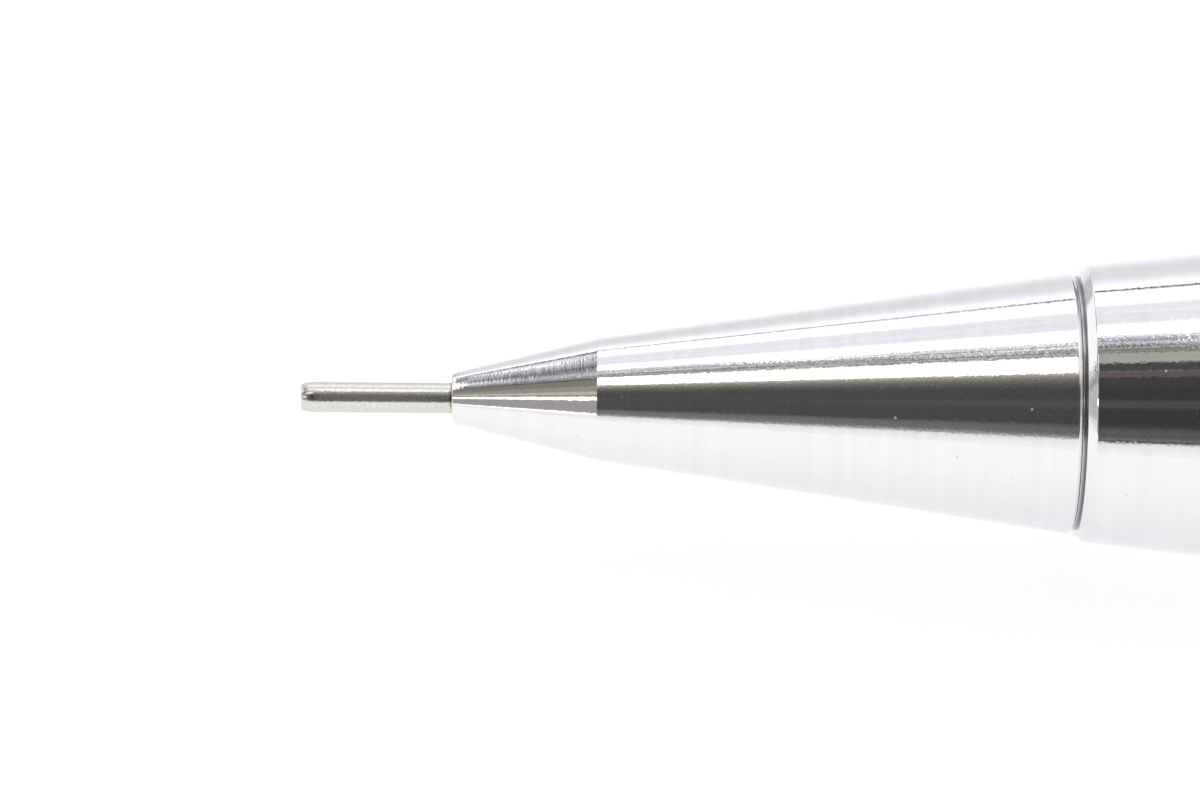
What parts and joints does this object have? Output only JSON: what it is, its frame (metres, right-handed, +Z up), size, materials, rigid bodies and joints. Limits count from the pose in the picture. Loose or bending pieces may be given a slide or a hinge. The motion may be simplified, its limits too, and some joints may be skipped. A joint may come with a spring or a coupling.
{
  "type": "drafting pencil",
  "caption": "Chrome mechanical drafting pencil with a slim fixed guide sleeve, tapered nose, knurled grip, lead grade ring, pocket clip and push button that feeds the lead through a clutch.",
  "frame": {"origin": "on the table under the middle of the pencil's overall box", "axes": "+X along the pencil's axis, from the guide sleeve's mouth to the push button; +Z up; the pocket clip points to -Y and a little down"},
  "size_m": [0.1402, 0.012, 0.009],
  "materials": {
    "chrome_plate": "mirror-bright plating over turned brass, with faint turning lines",
    "sleeve_steel": "satin drawn steel, slightly warm",
    "spring_wire": "drawn spring wire",
    "brass": "plain turned brass",
    "nickel": "dull nickel plating on sheet metal",
    "graphite": "polymer-bonded graphite, dull sheen",
    "black_rubber": "matt moulded rubber",
    "tube_plastic": "extruded milky plastic",
    "drum_enamel": "off-white enamel with black printed lead grades",
    "eraser_rubber": "white vinyl eraser"
  },
  "bodies": {
    "barrel_body": {"grip": "chrome_plate", "barrel": "chrome_plate", "clip_band": "chrome_plate", "tail_bush": "chrome_plate", "grade_drum": "drum_enamel", "clutch_seat": "brass", "return_spring": "spring_wire"},
    "nose": {"nose_cone": "chrome_plate", "lead_sleeve": "sleeve_steel", "lead_retainer": "black_rubber"},
    "clutch_ring": {"clutch_ring": "brass"},
    "lead": {"working_lead": "graphite"},
    "plunger": {"chuck": "brass", "chuck_holder": "brass", "lead_tube": "tube_plastic", "spare_lead_1": "graphite", "spare_lead_2": "graphite", "spare_lead_3": "graphite", "eraser_ferrule": "nickel", "eraser": "eraser_rubber", "cleaning_needle": "sleeve_steel"},
    "cap": {"push_cap": "chrome_plate"},
    "grade_ring": {"grade_ring": "chrome_plate"},
    "clip": {"clip": "chrome_plate"}
  },
  "joints": [
    {"name": "push_button", "type": "slide", "parent": "barrel_body", "child": "plunger", "axis": [-1, 0, 0], "range_m": [0, 0.0032], "stiffness_N_per_m": 450, "springref_m": -0.004, "deforming": ["return_spring"]},
    {"name": "clutch_ring_travel", "type": "slide", "parent": "barrel_body", "child": "clutch_ring", "axis": [-1, 0, 0], "range_m": [0, 0.0008]},
    {"name": "lead_feed", "type": "slide", "parent": "barrel_body", "child": "lead", "axis": [-1, 0, 0], "range_m": [0, 0.01]},
    {"name": "nose_off", "type": "slide", "parent": "barrel_body", "child": "nose", "axis": [-1, 0, 0], "range_m": [0, 0.022]},
    {"name": "cap_off", "type": "slide", "parent": "plunger", "child": "cap", "axis": [1, 0, 0], "range_m": [0, 0.018]},
    {"name": "grade_turn", "type": "hinge", "parent": "barrel_body", "child": "grade_ring", "pos_m": [-0.00748, 0.00153, 0.0045], "axis": [1, 0, 0], "continuous": true},
    {"name": "clip_flex", "type": "hinge", "parent": "barrel_body", "child": "clip", "pos_m": [0.04667, -0.00242, 0.00282], "axis": [0, -0.3914, 0.9202], "range_deg": [0, 4], "stiffness_Nm_per_rad": 3, "springref_deg": -1.72}
  ],
  "couplings": [
    {"joint": "clutch_ring_travel", "follows": "push_button", "ratio": 0.25}
  ]
}
